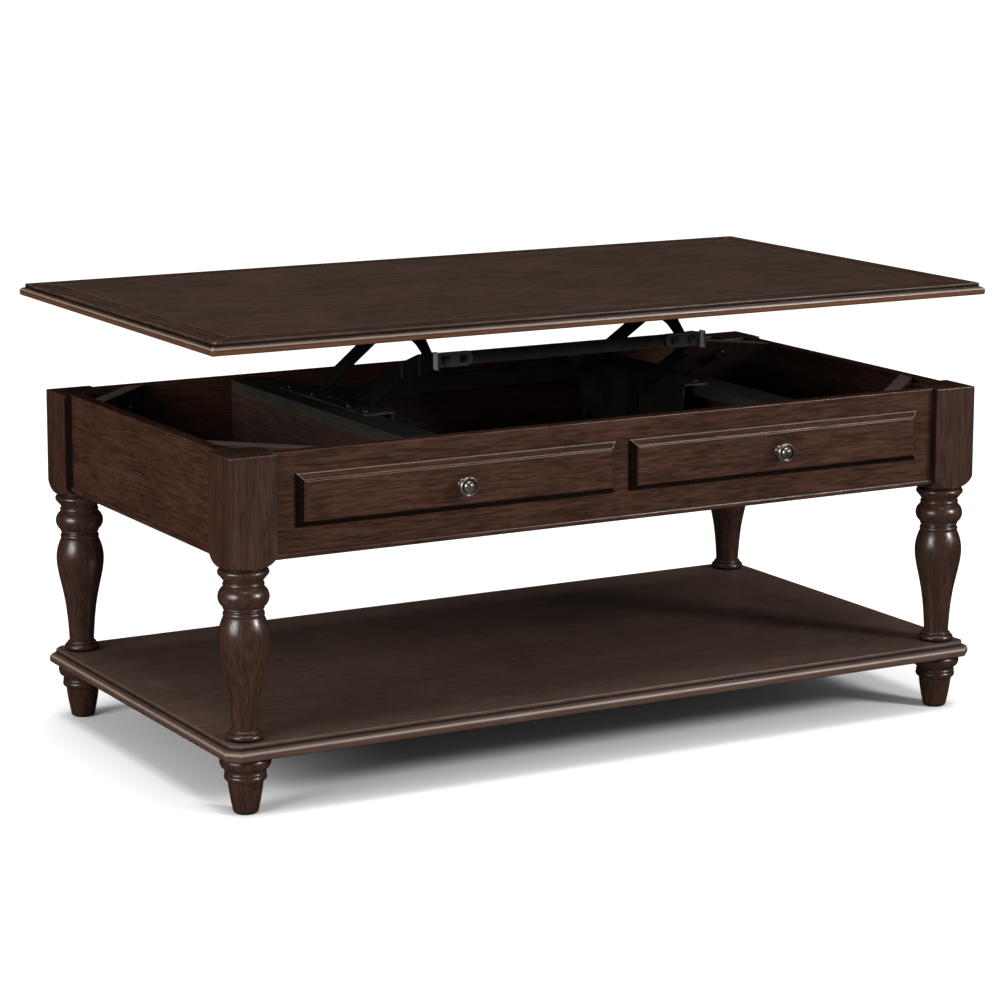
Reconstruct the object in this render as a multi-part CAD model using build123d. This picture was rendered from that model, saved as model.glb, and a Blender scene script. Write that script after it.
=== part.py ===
from build123d import *

import os
from math import atan2, cos, degrees, radians, sin, sqrt

# A lift top coffee table on four turned legs. +X runs to the right along the table, +Y to the back and
# +Z up. Millimetres. The top is modelled raised, as it stands when the lift is open.

os.makedirs("parts", exist_ok=True)

# Driving dimensions: the top
TOP_W = 1270.0
TOP_D = 686.0
TOP_T = 18.0
TOP_NOSE_T = 12.0
TOP_STEP = 6.5
BORDER_W = 45.0
SEAM_W = 0.7

# Driving dimensions: the leg frame
FRAME_W = 1230.0
FRAME_D = 646.0
POST = 70.0
RIM_Z = 496.0
APRON_T = 20.0
APRON_BACK = 12.0
APRON_Z0 = 359.0
BEAD_H = 9.0
BEAD_OUT = 3.0
POMMEL_Z = 341.0

# Driving dimensions: the shelf and the feet
SHELF_W = 1244.0
SHELF_D = 660.0
SHELF_Z = 81.0
SHELF_T = 22.0
SHELF_NOSE_T = 14.5
SHELF_STEP = 9.0
SHELF_CORNER = 17.0

# Driving dimensions: drawer fronts and knobs
FRONT_W = 500.0
FRONT_H = 73.0
FRONT_T = 10.0
FRONT_BEVEL = (8.0, 6.5)
FIELD_INSET = 10.0
FIELD_LIFT = 0.8
FRONT_GAP = 25.0
FRONT_Z = 429.0
KNOB_R = 14.0
KNOB_OUT = 25.0
KNOB_SCREW_R = 2.0
PANEL_SCREW_R = 1.75

# Driving dimensions: the inside of the case
DIVIDER_X = 327.0
DIVIDER_T = 18.0
RAIL_W = 57.0
RAIL_T = 16.0
RAIL_Z = 491.0
FLOOR_T = 8.0
BRACE_T = 22.0
BRACE_H = 100.0
BRACE_REACH = 792.0

# Driving dimensions: the lift
ARM_LEN = 215.0
ARM_W = 20.0
ARM_UP_DEG = 30.2
TRAVEL_DEG = 37.7
CLOSED_GAP = 0.5
FRONT_PIVOT = (48.0, 464.0)
PIVOT_STEP = (136.5, 19.5)
PIN_R = 4.0
PIN_CLEAR = 0.05
OPEN_PIVOT_CLEAR = 0.3

# Driving dimensions: the planes of the lift's plates, measured out from the middle of the table
WEB_X = (247.0, 249.5)
FRONT_ARM_X = (241.5, 245.5)
REAR_ARM_X = (230.0, 234.0)
KNEE_PLATE_X = (217.0, 221.0)
TOP_PLATE_X = (211.5, 214.5)
SHEET_T = 2.5
WEB_Y = (-86.0, 216.0)
WEB_Z0 = 404.0
FLANGE_Y = (-90.0, 196.0)
FLANGE_X = 294.0
TOP_PLATE_FLANGE_X = 184.0
TOP_SCREW_X = 196.0
TOP_SCREW_YS = (-96.0, -50.0, 20.0)
TOP_SCREW_DEPTH = 11.0

# Worked out from the driving dimensions
POST_X = FRAME_W / 2 - POST / 2
POST_Y = FRAME_D / 2 - POST / 2
IN_X = FRAME_W / 2 - APRON_BACK - APRON_T
IN_Y = FRAME_D / 2 - APRON_BACK - APRON_T
SHELF_TOP = SHELF_Z + SHELF_T
APRON_FACE_Y = -(FRAME_D / 2 - APRON_BACK)
FLOOR_Z = APRON_Z0
LIFT = ARM_LEN * (sin(radians(ARM_UP_DEG)) - sin(radians(ARM_UP_DEG - TRAVEL_DEG)))
SLIDE_BACK = ARM_LEN * (cos(radians(ARM_UP_DEG - TRAVEL_DEG)) - cos(radians(ARM_UP_DEG)))
TOP_Z = RIM_Z + CLOSED_GAP + LIFT
REAR_PIVOT = (FRONT_PIVOT[0] + PIVOT_STEP[0], FRONT_PIVOT[1] + PIVOT_STEP[1])
ARM_REACH = (-ARM_LEN * cos(radians(ARM_UP_DEG)), ARM_LEN * sin(radians(ARM_UP_DEG)))
FRONT_KNEE = (FRONT_PIVOT[0] + ARM_REACH[0], FRONT_PIVOT[1] + ARM_REACH[1])
REAR_KNEE = (REAR_PIVOT[0] + ARM_REACH[0], REAR_PIVOT[1] + ARM_REACH[1])
LUG = (FRONT_PIVOT[0], FRONT_PIVOT[1] - 45.0)

# The row's origin lies on the floor, under the middle of the whole raised table's box
FIELD_Y = APRON_FACE_Y - FRONT_T - FIELD_LIFT
FRONTMOST = FIELD_Y - KNOB_OUT
REARMOST = TOP_D / 2 + SLIDE_BACK
FRAME_Y = -(FRONTMOST + REARMOST) / 2

CORNERS = {"front_left": (-1, -1), "front_right": (1, -1), "rear_left": (-1, 1), "rear_right": (1, 1)}
SIDES = {"left": -1, "right": 1}
MIN = (Align.CENTER, Align.CENTER, Align.MIN)


def save(node, *solids):
    """Write one node, moved from the leg frame's middle to the row's origin."""
    shape = solids[0] if len(solids) == 1 else Compound(list(solids))
    export_step(Pos(0, FRAME_Y, 0) * shape, f"parts/{node}.step")


def block(x0, x1, y0, y1, z0, z1):
    """A box between two corners."""
    size = (x1 - x0, y1 - y0, z1 - z0)
    return Pos((x0 + x1) / 2, (y0 + y1) / 2, (z0 + z1) / 2) * Box(*size)


def rod_x(x0, x1, y, z, radius):
    """A round rod along X."""
    return Pos((x0 + x1) / 2, y, z) * Rot(0, 90, 0) * Cylinder(radius, x1 - x0)


def rod_y(y0, y1, x, z, radius):
    """A round rod along Y."""
    return Pos(x, (y0 + y1) / 2, z) * Rot(90, 0, 0) * Cylinder(radius, y1 - y0)


def rod_z(z0, z1, x, y, radius):
    """A round rod along Z."""
    return Pos(x, y, z0) * Cylinder(radius, z1 - z0, align=MIN)


def plate_yz(sketch, x_span):
    """A flat plate whose outline is drawn in Y and Z, between two places along X."""
    return extrude(Plane.YZ.offset(x_span[0]) * sketch, x_span[1] - x_span[0], dir=(1, 0, 0))


def prism(sketch, height):
    """An upright prism on an outline drawn in X and Y."""
    return extrude(sketch, height, dir=(0, 0, 1))


def on_side(sign, solid):
    """The right-hand solid, or its mirror image on the left."""
    return solid if sign > 0 else mirror(solid, about=Plane.YZ)


def outline(width, depth, corner=0.0):
    """A rectangle, with its corners cut off where a size is given."""
    sketch = Rectangle(width, depth)
    return chamfer(sketch.vertices(), length=corner) if corner else sketch


def moulded_board(width, depth, thickness, nose_t, step, corner=0.0):
    """A board with a rounded nose all round its edge, and a small step up to its flat top."""
    nose = extrude(outline(width, depth, corner), nose_t)
    nose = fillet(nose.edges().group_by(Axis.Z)[-1], nose_t * 0.45)
    nose = fillet(nose.edges().group_by(Axis.Z)[0], nose_t * 0.3)
    cap = extrude(outline(width - 2 * step, depth - 2 * step, corner * 0.7), thickness)
    cap = fillet(cap.edges().group_by(Axis.Z)[-1], 1.5)
    return nose + cap


# ---------------------------------------------------------------- the raised top


def seam(start, end, z):
    """A fine V-shaped cut along one glue line."""
    length = sqrt((end[0] - start[0]) ** 2 + (end[1] - start[1]) ** 2)
    angle = degrees(atan2(end[1] - start[1], end[0] - start[0]))
    middle = Pos((start[0] + end[0]) / 2, (start[1] + end[1]) / 2, z)
    return middle * Rot(0, 0, angle) * Rot(45, 0, 0) * Box(length, SEAM_W, SEAM_W)


def tabletop_blank():
    """The whole top in one piece, with its seams cut."""
    board = moulded_board(TOP_W, TOP_D, TOP_T, TOP_NOSE_T, TOP_STEP)
    inner = (TOP_W / 2 - BORDER_W, TOP_D / 2 - BORDER_W)
    for sign in (-1, 1):
        board -= seam((-inner[0], sign * inner[1]), (inner[0], sign * inner[1]), TOP_T)
        board -= seam((sign * inner[0], -inner[1]), (sign * inner[0], inner[1]), TOP_T)
    for sx, sy in CORNERS.values():
        board -= seam((sx * inner[0], sy * inner[1]), (sx * TOP_W / 2, sy * TOP_D / 2), TOP_T)
    return board


def place_top(solid):
    """From the board's own place to its raised place over the table."""
    return Pos(0, SLIDE_BACK, TOP_Z) * solid


def top_screw_places():
    """X and Y of the screws that hold the top brackets to the panel."""
    return [(sign * TOP_SCREW_X, y) for sign in SIDES.values() for y in TOP_SCREW_YS]


def save_top():
    blank = tabletop_blank()
    reach = 5.0
    x_in, y_in = TOP_W / 2 - BORDER_W, TOP_D / 2 - BORDER_W
    x_out, y_out = TOP_W / 2 + reach, TOP_D / 2 + reach
    mitre_x, mitre_y = x_in - y_in + y_out, y_in - x_in + x_out
    panel = place_top(blank & prism(Rectangle(2 * x_in, 2 * y_in), TOP_T))
    for x, y in top_screw_places():
        panel -= rod_z(TOP_Z - 1, TOP_Z + TOP_SCREW_DEPTH, x, y, PANEL_SCREW_R)
    save("top_panel", panel)
    for name, sign in (("front", -1), ("rear", 1)):
        wedge = Polygon((-mitre_x, sign * y_out), (mitre_x, sign * y_out), (x_in, sign * y_in),
                        (-x_in, sign * y_in), align=None)
        save(f"top_border_{name}", place_top(blank & prism(wedge, TOP_T)))
    for name, sign in SIDES.items():
        wedge = Polygon((sign * x_out, -mitre_y), (sign * x_out, mitre_y), (sign * x_in, y_in),
                        (sign * x_in, -y_in), align=None)
        save(f"top_border_{name}", place_top(blank & prism(wedge, TOP_T)))


# ---------------------------------------------------------------- legs, feet and shelf

STUD_R = 4.0
STUD_Z = (47.0, 141.0)
BOLT_R = 4.0
BOLT_ZS = (476.0, 416.0)


def turned(edges, top, bottom):
    """A solid of revolution about Z from a turned outline, given from its top to its bottom."""
    start = edges[0] @ 0
    end = edges[-1] @ 1
    closing = [Line((0, 0, top), start), Line(end, (0, 0, bottom)), Line((0, 0, bottom), (0, 0, top))]
    face = make_face(Curve() + [closing[0], *edges, closing[1], closing[2]])
    return revolve(face, axis=Axis.Z)


def at(r, z):
    """A point on a turned outline: radius and height."""
    return (r, 0, z)


def outline_run(*steps):
    """Edges of a turned outline. A step is a point to go straight to, ("arc", through, to) or
    ("curve", points to pass through)."""
    place = steps[0]
    edges = []
    for step in steps[1:]:
        if step[0] == "arc":
            edges.append(ThreePointArc(at(*place), at(*step[1]), at(*step[2])))
            place = step[2]
        elif step[0] == "curve":
            edges.append(Spline(at(*place), *[at(*p) for p in step[1]]))
            place = step[1][-1]
        else:
            edges.append(Line(at(*place), at(*step)))
            place = step
    return edges


def leg_turning():
    """The turned part of a leg, from the underside of its square post down to the shelf."""
    edges = outline_run(
        (30.5, POMMEL_Z + 4),
        (30.5, POMMEL_Z - 1),
        ("arc", (35.2, 335.8), (33.0, 330.4)),
        (26.8, 322.6),
        (26.8, 321.6),
        ("arc", (28.6, 318.6), (27.6, 315.6)),
        (28.3, 314.6),
        ("arc", (35.2, 301.5), (27.4, 286.5)),
        ("arc", (28.4, 285.2), (27.4, 283.9)),
        (25.9, 283.0),
        (26.3, 281.6),
        ("arc", (28.6, 278.0), (27.7, 274.4)),
        (28.3, 273.4),
        ("curve", [(32.6, 262.0), (35.2, 246.0), (34.3, 231.0), (30.6, 211.0), (25.8, 189.0),
                   (22.0, 165.0), (19.6, 140.0), (18.3, 117.0)]),
        (20.4, 116.0),
        ("arc", (21.4, 114.6), (20.4, 113.2)),
        (21.6, 112.6),
        ("arc", (25.7, 107.6), (21.8, SHELF_TOP)),
    )
    return turned(edges, POMMEL_Z + 4, SHELF_TOP)


def leg_post():
    """The square post, rounded to the turning at its foot."""
    square = Pos(0, 0, POMMEL_Z) * Box(POST, POST, RIM_Z - POMMEL_Z, align=MIN)
    square = fillet(square.edges().filter_by(Axis.Z), 1.0)
    square = chamfer(square.edges().group_by(Axis.Z)[-1], 0.8)
    edges = outline_run(
        (52.0, RIM_Z),
        (52.0, 370.0),
        (50.0, 363.0),
        ("arc", (42.5, 348.5), (30.0, POMMEL_Z)),
    )
    return square & turned(edges, RIM_Z, POMMEL_Z)


def diagonal(sx, sy, lateral=0.0):
    """The place and turn of a bolt along the corner's diagonal, at its post's inner corner."""
    reach = lateral / sqrt(2)
    corner = (sx * (POST_X - POST / 2 + reach), sy * (POST_Y - POST / 2 - reach))
    return Pos(*corner, 0) * Rot(0, 0, degrees(atan2(sy, sx)))


def bolt_run(sx, sy, z, inner, outer, radius, lateral=0.0):
    """A rod along the corner's diagonal. Distances are from the post's inner corner, outward."""
    return diagonal(sx, sy, lateral) * rod_x(inner, outer, 0, z, radius)


def save_legs():
    leg = leg_post() + leg_turning()
    for corner, (sx, sy) in CORNERS.items():
        solid = Pos(sx * POST_X, sy * POST_Y, 0) * leg
        solid -= rod_z(SHELF_TOP - 1, STUD_Z[1], sx * POST_X, sy * POST_Y, STUD_R)
        for z in BOLT_ZS:
            solid -= bolt_run(sx, sy, z, -2, 45, BOLT_R)
        save(f"leg_{corner}", solid)


def foot():
    """A turned foot: collar, double bead and a tapered cone with a rounded edge."""
    edges = outline_run(
        (31.5, SHELF_Z),
        ("arc", (35.4, 73.0), (28.6, 62.4)),
        (27.6, 61.4),
        (27.6, 59.2),
        ("arc", (28.9, 57.0), (28.0, 54.9)),
        ("arc", (29.4, 50.8), (25.6, 46.4)),
        (24.6, 45.2),
        ("curve", [(21.9, 26.0), (18.0, 6.0)]),
        ("arc", (16.6, 1.9), (12.6, 0.0)),
    )
    return turned(edges, SHELF_Z, 0)


def save_feet():
    solid = foot() - rod_z(STUD_Z[0], SHELF_Z + 1, 0, 0, STUD_R)
    for corner, (sx, sy) in CORNERS.items():
        save(f"foot_{corner}", Pos(sx * POST_X, sy * POST_Y, 0) * solid)
    studs = [rod_z(*STUD_Z, sx * POST_X, sy * POST_Y, STUD_R) for sx, sy in CORNERS.values()]
    save("leg_studs", *studs)


def save_shelf():
    board = moulded_board(SHELF_W, SHELF_D, SHELF_T, SHELF_NOSE_T, SHELF_STEP, SHELF_CORNER)
    shelf = Pos(0, 0, SHELF_Z) * board
    for sx, sy in CORNERS.values():
        shelf -= rod_z(SHELF_Z - 1, SHELF_TOP + 1, sx * POST_X, sy * POST_Y, STUD_R + 0.3)
    save("shelf", shelf)


# ---------------------------------------------------------------- aprons and drawer fronts

PANEL_SCREW_XS = (-200.0, 200.0)
PANEL_SCREW_DZ = 22.0


def front_centre(sign):
    """The middle of one drawer front along X."""
    return sign * (FRONT_GAP / 2 + FRONT_W / 2)


def panel_screw_places(sign):
    """X and Z of the screws that hold one drawer front from inside."""
    return [(front_centre(sign) + dx, FRONT_Z + dz)
            for dx in PANEL_SCREW_XS for dz in (-PANEL_SCREW_DZ, PANEL_SCREW_DZ)]


def bead(length):
    """The bead along an apron's lower edge, along X, with its back at Y = 0 and its nose to -Y."""
    depth = APRON_T + BEAD_OUT
    strip = block(-length / 2, length / 2, -depth, 0, -BEAD_H, 0)
    nose = strip.edges().filter_by(Axis.X).group_by(Axis.Y)[0]
    return fillet(nose, BEAD_H * 0.42)


def save_aprons():
    half_x, half_y = POST_X - POST / 2, POST_Y - POST / 2
    front = block(-half_x, half_x, APRON_FACE_Y, -IN_Y, APRON_Z0, RIM_Z)
    front = chamfer(front.edges().filter_by(Axis.X).group_by(Axis.Z)[-1], 0.8)
    rear = mirror(front, about=Plane.XZ)
    for sign in SIDES.values():
        front -= rod_y(APRON_FACE_Y - 1, -IN_Y + 1, front_centre(sign), FRONT_Z, KNOB_SCREW_R)
        for x, z in panel_screw_places(sign):
            front -= rod_y(APRON_FACE_Y - 1, -IN_Y + 1, x, z, PANEL_SCREW_R)
    save("apron_front", front)
    save("apron_rear", rear)
    side = block(IN_X, IN_X + APRON_T, -half_y, half_y, APRON_Z0, RIM_Z)
    side = chamfer(side.edges().filter_by(Axis.Y).group_by(Axis.Z)[-1], 0.8)
    for name, sign in SIDES.items():
        save(f"apron_{name}", on_side(sign, side))
    front_bead = Pos(0, -IN_Y, APRON_Z0) * bead(2 * half_x)
    save("bead_front", front_bead)
    save("bead_rear", mirror(front_bead, about=Plane.XZ))
    side_bead = Pos(IN_X, 0, APRON_Z0) * Rot(0, 0, 90) * bead(2 * half_y)
    save("bead_sides", *[on_side(sign, side_bead) for sign in SIDES.values()])


def front_panel(sign):
    """A raised drawer front: bevelled all round, with a thin raised field on its face."""
    panel = block(-FRONT_W / 2, FRONT_W / 2, -FRONT_T, 0, -FRONT_H / 2, FRONT_H / 2)
    face = panel.faces().sort_by(Axis.Y)[0]
    panel = chamfer(face.edges(), length=FRONT_BEVEL[0], length2=FRONT_BEVEL[1], reference=face)
    half_x, half_z = FRONT_W / 2 - FIELD_INSET, FRONT_H / 2 - FIELD_INSET
    panel += block(-half_x, half_x, -FRONT_T - FIELD_LIFT, -FRONT_T + 1, -half_z, half_z)
    panel -= rod_y(-FRONT_T - 2, 1, 0, 0, KNOB_SCREW_R)
    for x, z in panel_screw_places(sign):
        panel -= rod_y(-6, 1, x - front_centre(sign), z - FRONT_Z, PANEL_SCREW_R)
    return Pos(front_centre(sign), APRON_FACE_Y, FRONT_Z) * panel


def knob():
    """A turned metal knob along -Y: foot, waist, ringed rim and domed middle."""
    edges = outline_run(
        (0.1, KNOB_OUT),
        ("arc", (5.2, KNOB_OUT - 1.3), (8.4, KNOB_OUT - 5.0)),
        (8.8, KNOB_OUT - 7.2),
        ("arc", (9.9, KNOB_OUT - 7.9), (10.9, KNOB_OUT - 7.0)),
        (11.2, KNOB_OUT - 5.2),
        ("arc", (12.1, KNOB_OUT - 4.4), (13.0, KNOB_OUT - 5.2)),
        ("arc", (KNOB_R, KNOB_OUT - 7.4), (12.6, KNOB_OUT - 9.8)),
        ("curve", [(9.4, KNOB_OUT - 12.6), (6.0, KNOB_OUT - 16.0), (5.4, 6.0)]),
        (6.4, 3.6),
        ("arc", (8.2, 2.4), (8.2, 0.0)),
    )
    solid = turned(edges, KNOB_OUT, 0)
    solid -= rod_z(-1, 14, 0, 0, KNOB_SCREW_R)
    return Rot(90, 0, 0) * solid


def save_fronts():
    knob_screws = []
    for name, sign in SIDES.items():
        save(f"drawer_front_{name}", front_panel(sign))
        save(f"knob_{name}", Pos(front_centre(sign), FIELD_Y, FRONT_Z) * knob())
        shank = rod_y(FIELD_Y - 12, -IN_Y, front_centre(sign), FRONT_Z, KNOB_SCREW_R)
        head = rod_y(-IN_Y, -IN_Y + 2.6, front_centre(sign), FRONT_Z, 4.5)
        knob_screws.append(shank + fillet(head.edges().group_by(Axis.Y)[-1], 1.2))
    save("knob_screws", *knob_screws)


# ---------------------------------------------------------------- inside the case

BRACE_SCREW_REACH = 45.0
BRACE_SCREW_Z = 445.0


def brace():
    """The corner block at the rear right, flush with the rim."""
    outer = BRACE_REACH
    inner = BRACE_REACH - BRACE_T * sqrt(2)
    sketch = Polygon((outer - IN_Y, IN_Y), (inner - IN_Y, IN_Y), (IN_X, inner - IN_X), (IN_X, outer - IN_X),
                     align=None)
    solid = Pos(0, 0, RIM_Z - BRACE_H) * prism(sketch, BRACE_H)
    for z in BOLT_ZS:
        solid -= bolt_run(1, 1, z, -40, 10, BOLT_R + 0.3)
    for lateral in (-BRACE_SCREW_REACH, BRACE_SCREW_REACH):
        solid -= bolt_run(1, 1, BRACE_SCREW_Z, -40, -8, PANEL_SCREW_R, lateral)
    return solid


def brace_inner_face():
    """How far the brace's inner face lies from the post's inner corner, along the diagonal."""
    corner = (POST_X - POST / 2) + (POST_Y - POST / 2)
    return (BRACE_REACH - corner) / sqrt(2) - BRACE_T


def mirrored(sx, sy, solid):
    """The rear right corner's solid, at any corner."""
    solid = on_side(sx, solid)
    return solid if sy > 0 else mirror(solid, about=Plane.XZ)


def brace_nut(z):
    """A washer and a hexagon nut on a hanger bolt, on the brace's inner face."""
    face = brace_inner_face()
    hexagon = Plane.YZ.offset(face - 8.2) * RegularPolygon(7.5, 6)
    nut = diagonal(1, 1) * Pos(0, 0, z) * extrude(hexagon, 6.5)
    nut += bolt_run(1, 1, z, face - 1.7, face, 9.5)
    return nut - bolt_run(1, 1, z, face - 9, face + 1, BOLT_R)


def save_braces():
    face = brace_inner_face()
    for corner, (sx, sy) in CORNERS.items():
        save(f"corner_brace_{corner}", mirrored(sx, sy, brace()))
    bolts = [bolt_run(1, 1, z, face - 12, 45, BOLT_R) for z in BOLT_ZS]
    nuts = [brace_nut(z) for z in BOLT_ZS]
    for node, solids in (("brace_bolts", bolts), ("brace_nuts", nuts)):
        save(node, *[mirrored(sx, sy, solid) for sx, sy in CORNERS.values() for solid in solids])


CLEAT = 12.0
CLEAT_SCREW_ZS = (389.0, 450.0)


def save_case():
    divider = block(DIVIDER_X - DIVIDER_T, DIVIDER_X, -IN_Y, IN_Y, FLOOR_Z + FLOOR_T, RAIL_Z - RAIL_T)
    rail = block(DIVIDER_X - RAIL_W, DIVIDER_X, -IN_Y, IN_Y, RAIL_Z - RAIL_T, RAIL_Z)
    rail = chamfer(rail.edges().filter_by(Axis.Y).group_by(Axis.Z)[-1], 0.8)
    for y in FLANGE_SCREW_YS:
        rail -= rod_z(RAIL_Z - 13, RAIL_Z + 1, FLANGE_SCREW_X, y, PANEL_SCREW_R)
    for name, sign in SIDES.items():
        save(f"divider_{name}", on_side(sign, divider))
        save(f"lift_rail_{name}", on_side(sign, rail))
    floor = block(-IN_X, IN_X, -IN_Y, IN_Y, FLOOR_Z, FLOOR_Z + FLOOR_T)
    notch = POST / 2 + 0.3
    for sx, sy in CORNERS.values():
        floor -= block(sx * POST_X - notch, sx * POST_X + notch, sy * POST_Y - notch, sy * POST_Y + notch,
                       FLOOR_Z - 1, FLOOR_Z + FLOOR_T + 1)
    save("compartment_floor", floor)
    half_x = POST_X - POST / 2
    long_cleat = block(-half_x, half_x, IN_Y - CLEAT, IN_Y, FLOOR_Z - BEAD_H, FLOOR_Z)
    half_y = POST_Y - POST / 2
    short_cleat = block(IN_X - CLEAT, IN_X, -half_y, half_y, FLOOR_Z - BEAD_H, FLOOR_Z)
    save("floor_cleats", long_cleat, mirror(long_cleat, about=Plane.XZ), short_cleat,
         mirror(short_cleat, about=Plane.YZ))
    x_in = DIVIDER_X - DIVIDER_T
    upright = block(x_in - CLEAT, x_in, IN_Y - CLEAT, IN_Y, FLOOR_Z + FLOOR_T, RAIL_Z - RAIL_T)
    for z in CLEAT_SCREW_ZS:
        upright -= rod_y(IN_Y - CLEAT - 1, IN_Y + 1, x_in - CLEAT / 2, z, PANEL_SCREW_R)
    save("divider_cleats", *[mirrored(sx, sy, upright) for sx, sy in CORNERS.values()])


def save_case_screws():
    """The small wood screws: through cleats, braces and base brackets, and into the drawer fronts."""
    corner_screws = []
    for z in CLEAT_SCREW_ZS:
        x = DIVIDER_X - DIVIDER_T - CLEAT / 2
        shank = rod_y(IN_Y - CLEAT, IN_Y, x, z, PANEL_SCREW_R)
        corner_screws.append(shank + rod_y(IN_Y - CLEAT - 1.8, IN_Y - CLEAT, x, z, 3.2))
    face = brace_inner_face()
    for lateral in (-BRACE_SCREW_REACH, BRACE_SCREW_REACH):
        shank = bolt_run(1, 1, BRACE_SCREW_Z, face, face + 12, PANEL_SCREW_R, lateral)
        corner_screws.append(shank + bolt_run(1, 1, BRACE_SCREW_Z, face - 2.2, face, 4.2, lateral))
    screws = [mirrored(sx, sy, screw) for sx, sy in CORNERS.values() for screw in corner_screws]
    for sign in SIDES.values():
        for x, z in panel_screw_places(sign):
            shank = rod_y(APRON_FACE_Y - 5, -IN_Y, x, z, PANEL_SCREW_R)
            head = rod_y(-IN_Y, -IN_Y + 2.0, x, z, 3.6)
            screws.append(shank + fillet(head.edges().group_by(Axis.Y)[-1], 0.9))
        for y in FLANGE_SCREW_YS:
            shank = rod_z(RAIL_Z - 12, RAIL_Z + SHEET_T, FLANGE_SCREW_X, y, PANEL_SCREW_R)
            head = rod_z(RAIL_Z + SHEET_T, RAIL_Z + SHEET_T + 1.6, FLANGE_SCREW_X, y, 4.0)
            screws.append(on_side(sign, shank + head))
    save("case_screws", *screws)


# ---------------------------------------------------------------- the lift: fixed parts

FLANGE_SCREW_YS = (-66.0, -12.0, 104.0, 182.0)
FLANGE_SCREW_X = 281.0
TIE_Y = 200.0
TIE_T = 3.0
TIE_Z = (463.0, 487.0)
TIE_BOLT = (209.5, 475.0)
TIE_BOLT_R = 3.0
TIE_HEAD = (5.0, 3.0)
SPRING_X = 259.5
SPRING_R = 6.0
WIRE_R = 0.9
SPRING_HOOK_Y = -84.0
SPRING_START = (-66.0, 452.0)
SPRING_EYE_RUN = 19.0
LUG_PIN_R = 3.0


def web_outline():
    """The side plate of a base bracket in Y and Z, with the slot that the spring's lug swings in."""
    corners = [(WEB_Y[0], RAIL_Z), (WEB_Y[0], WEB_Z0 + 34), (WEB_Y[0] + 26, WEB_Z0), (WEB_Y[1] - 40, WEB_Z0),
               (WEB_Y[1], WEB_Z0 + 40), (WEB_Y[1], RAIL_Z)]
    sketch = Polygon(*corners, align=None)
    radius = FRONT_PIVOT[1] - LUG[1]
    arc = CenterArc((*FRONT_PIVOT, 0), radius, -90 - 4, TRAVEL_DEG + 8)
    sketch -= SlotArc(arc, 2 * LUG_PIN_R + 3)
    for place in (FRONT_PIVOT, REAR_PIVOT):
        sketch -= Pos(*place) * Circle(PIN_R)
    sketch -= Pos(*TIE_BOLT) * Circle(TIE_BOLT_R)
    return sketch


def base_bracket():
    """The right-hand base bracket: a side plate hanging from a flange that lies on the lift rail."""
    web = plate_yz(web_outline(), WEB_X)
    flange = block(WEB_X[0], FLANGE_X, *FLANGE_Y, RAIL_Z, RAIL_Z + SHEET_T)
    corners = flange.edges().filter_by(Axis.Z).sort_by(Axis.X)[-2:]
    flange = fillet(corners, 10.0)
    slot = Pos(272, 45, RAIL_Z - 1) * extrude(Rot(0, 0, 90) * SlotCenterToCenter(60, 8), SHEET_T + 2)
    flange -= slot
    for y in FLANGE_SCREW_YS:
        flange -= rod_z(RAIL_Z - 1, RAIL_Z + SHEET_T + 1, FLANGE_SCREW_X, y, PANEL_SCREW_R + 0.2)
    flange -= rod_z(RAIL_Z - 1, RAIL_Z + SHEET_T + 1, SPRING_X, SPRING_HOOK_Y, WIRE_R + 2.2)
    return web + flange


def base_pins():
    """The two rivets that the arms turn on, flush with the outer side of the plate."""
    front = rod_x(FRONT_ARM_X[0] - 1.2, WEB_X[1], *FRONT_PIVOT, PIN_R)
    front += rod_x(FRONT_ARM_X[0] - 1.2, FRONT_ARM_X[0] - 0.2, *FRONT_PIVOT, 7.0)
    front += rod_x(FRONT_ARM_X[1] + 0.3, WEB_X[0], *FRONT_PIVOT, 7.0)
    rear = rod_x(REAR_ARM_X[0] - 1.6, WEB_X[1], *REAR_PIVOT, PIN_R)
    rear += rod_x(REAR_ARM_X[0] - 1.6, REAR_ARM_X[0] - 0.3, *REAR_PIVOT, 7.0)
    rear += rod_x(REAR_ARM_X[1] + 0.3, WEB_X[0], *REAR_PIVOT, 7.0)
    return [front, rear]


def spring():
    """An extension spring's outer shape with its hook and eye, slanting from the flange to the lug."""
    (y0, z0), (y1, z1) = SPRING_START, LUG
    run = sqrt((y1 - y0) ** 2 + (z1 - z0) ** 2)
    eye_r = LUG_PIN_R + WIRE_R + 0.2
    coil = rod_y(0, run - SPRING_EYE_RUN, 0, 0, SPRING_R)
    body = fillet(coil.edges(), 1.5)
    body += rod_y(run - SPRING_EYE_RUN - 2, run - eye_r, 0, 0, WIRE_R)
    body += Pos(0, run, 0) * Rot(0, 90, 0) * Torus(eye_r, WIRE_R)
    body = Pos(SPRING_X, y0, z0) * Rot(degrees(atan2(z1 - z0, y1 - y0)), 0, 0) * body
    top = RAIL_Z + SHEET_T + WIRE_R + 0.1
    route = FilletPolyline((SPRING_X, y0 + 2, z0), (SPRING_X, SPRING_HOOK_Y, z0 + 5),
                           (SPRING_X, SPRING_HOOK_Y, top), (SPRING_X - 9, SPRING_HOOK_Y, top), radius=3.0)
    return body + sweep(Plane(route @ 0, z_dir=route % 0) * Circle(WIRE_R), path=route)


def tie_bar():
    """The flat bar that joins the two base brackets, with its ends bent back along them."""
    x = WEB_X[0]
    bar = block(-x, x, TIE_Y, TIE_Y + TIE_T, *TIE_Z)
    for sign in SIDES.values():
        tab = block(x - TIE_T, x, TIE_Y, WEB_Y[1], *TIE_Z)
        tab -= rod_x(x - TIE_T - 1, x + 1, *TIE_BOLT, TIE_BOLT_R)
        bar += on_side(sign, tab)
    return bar


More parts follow.
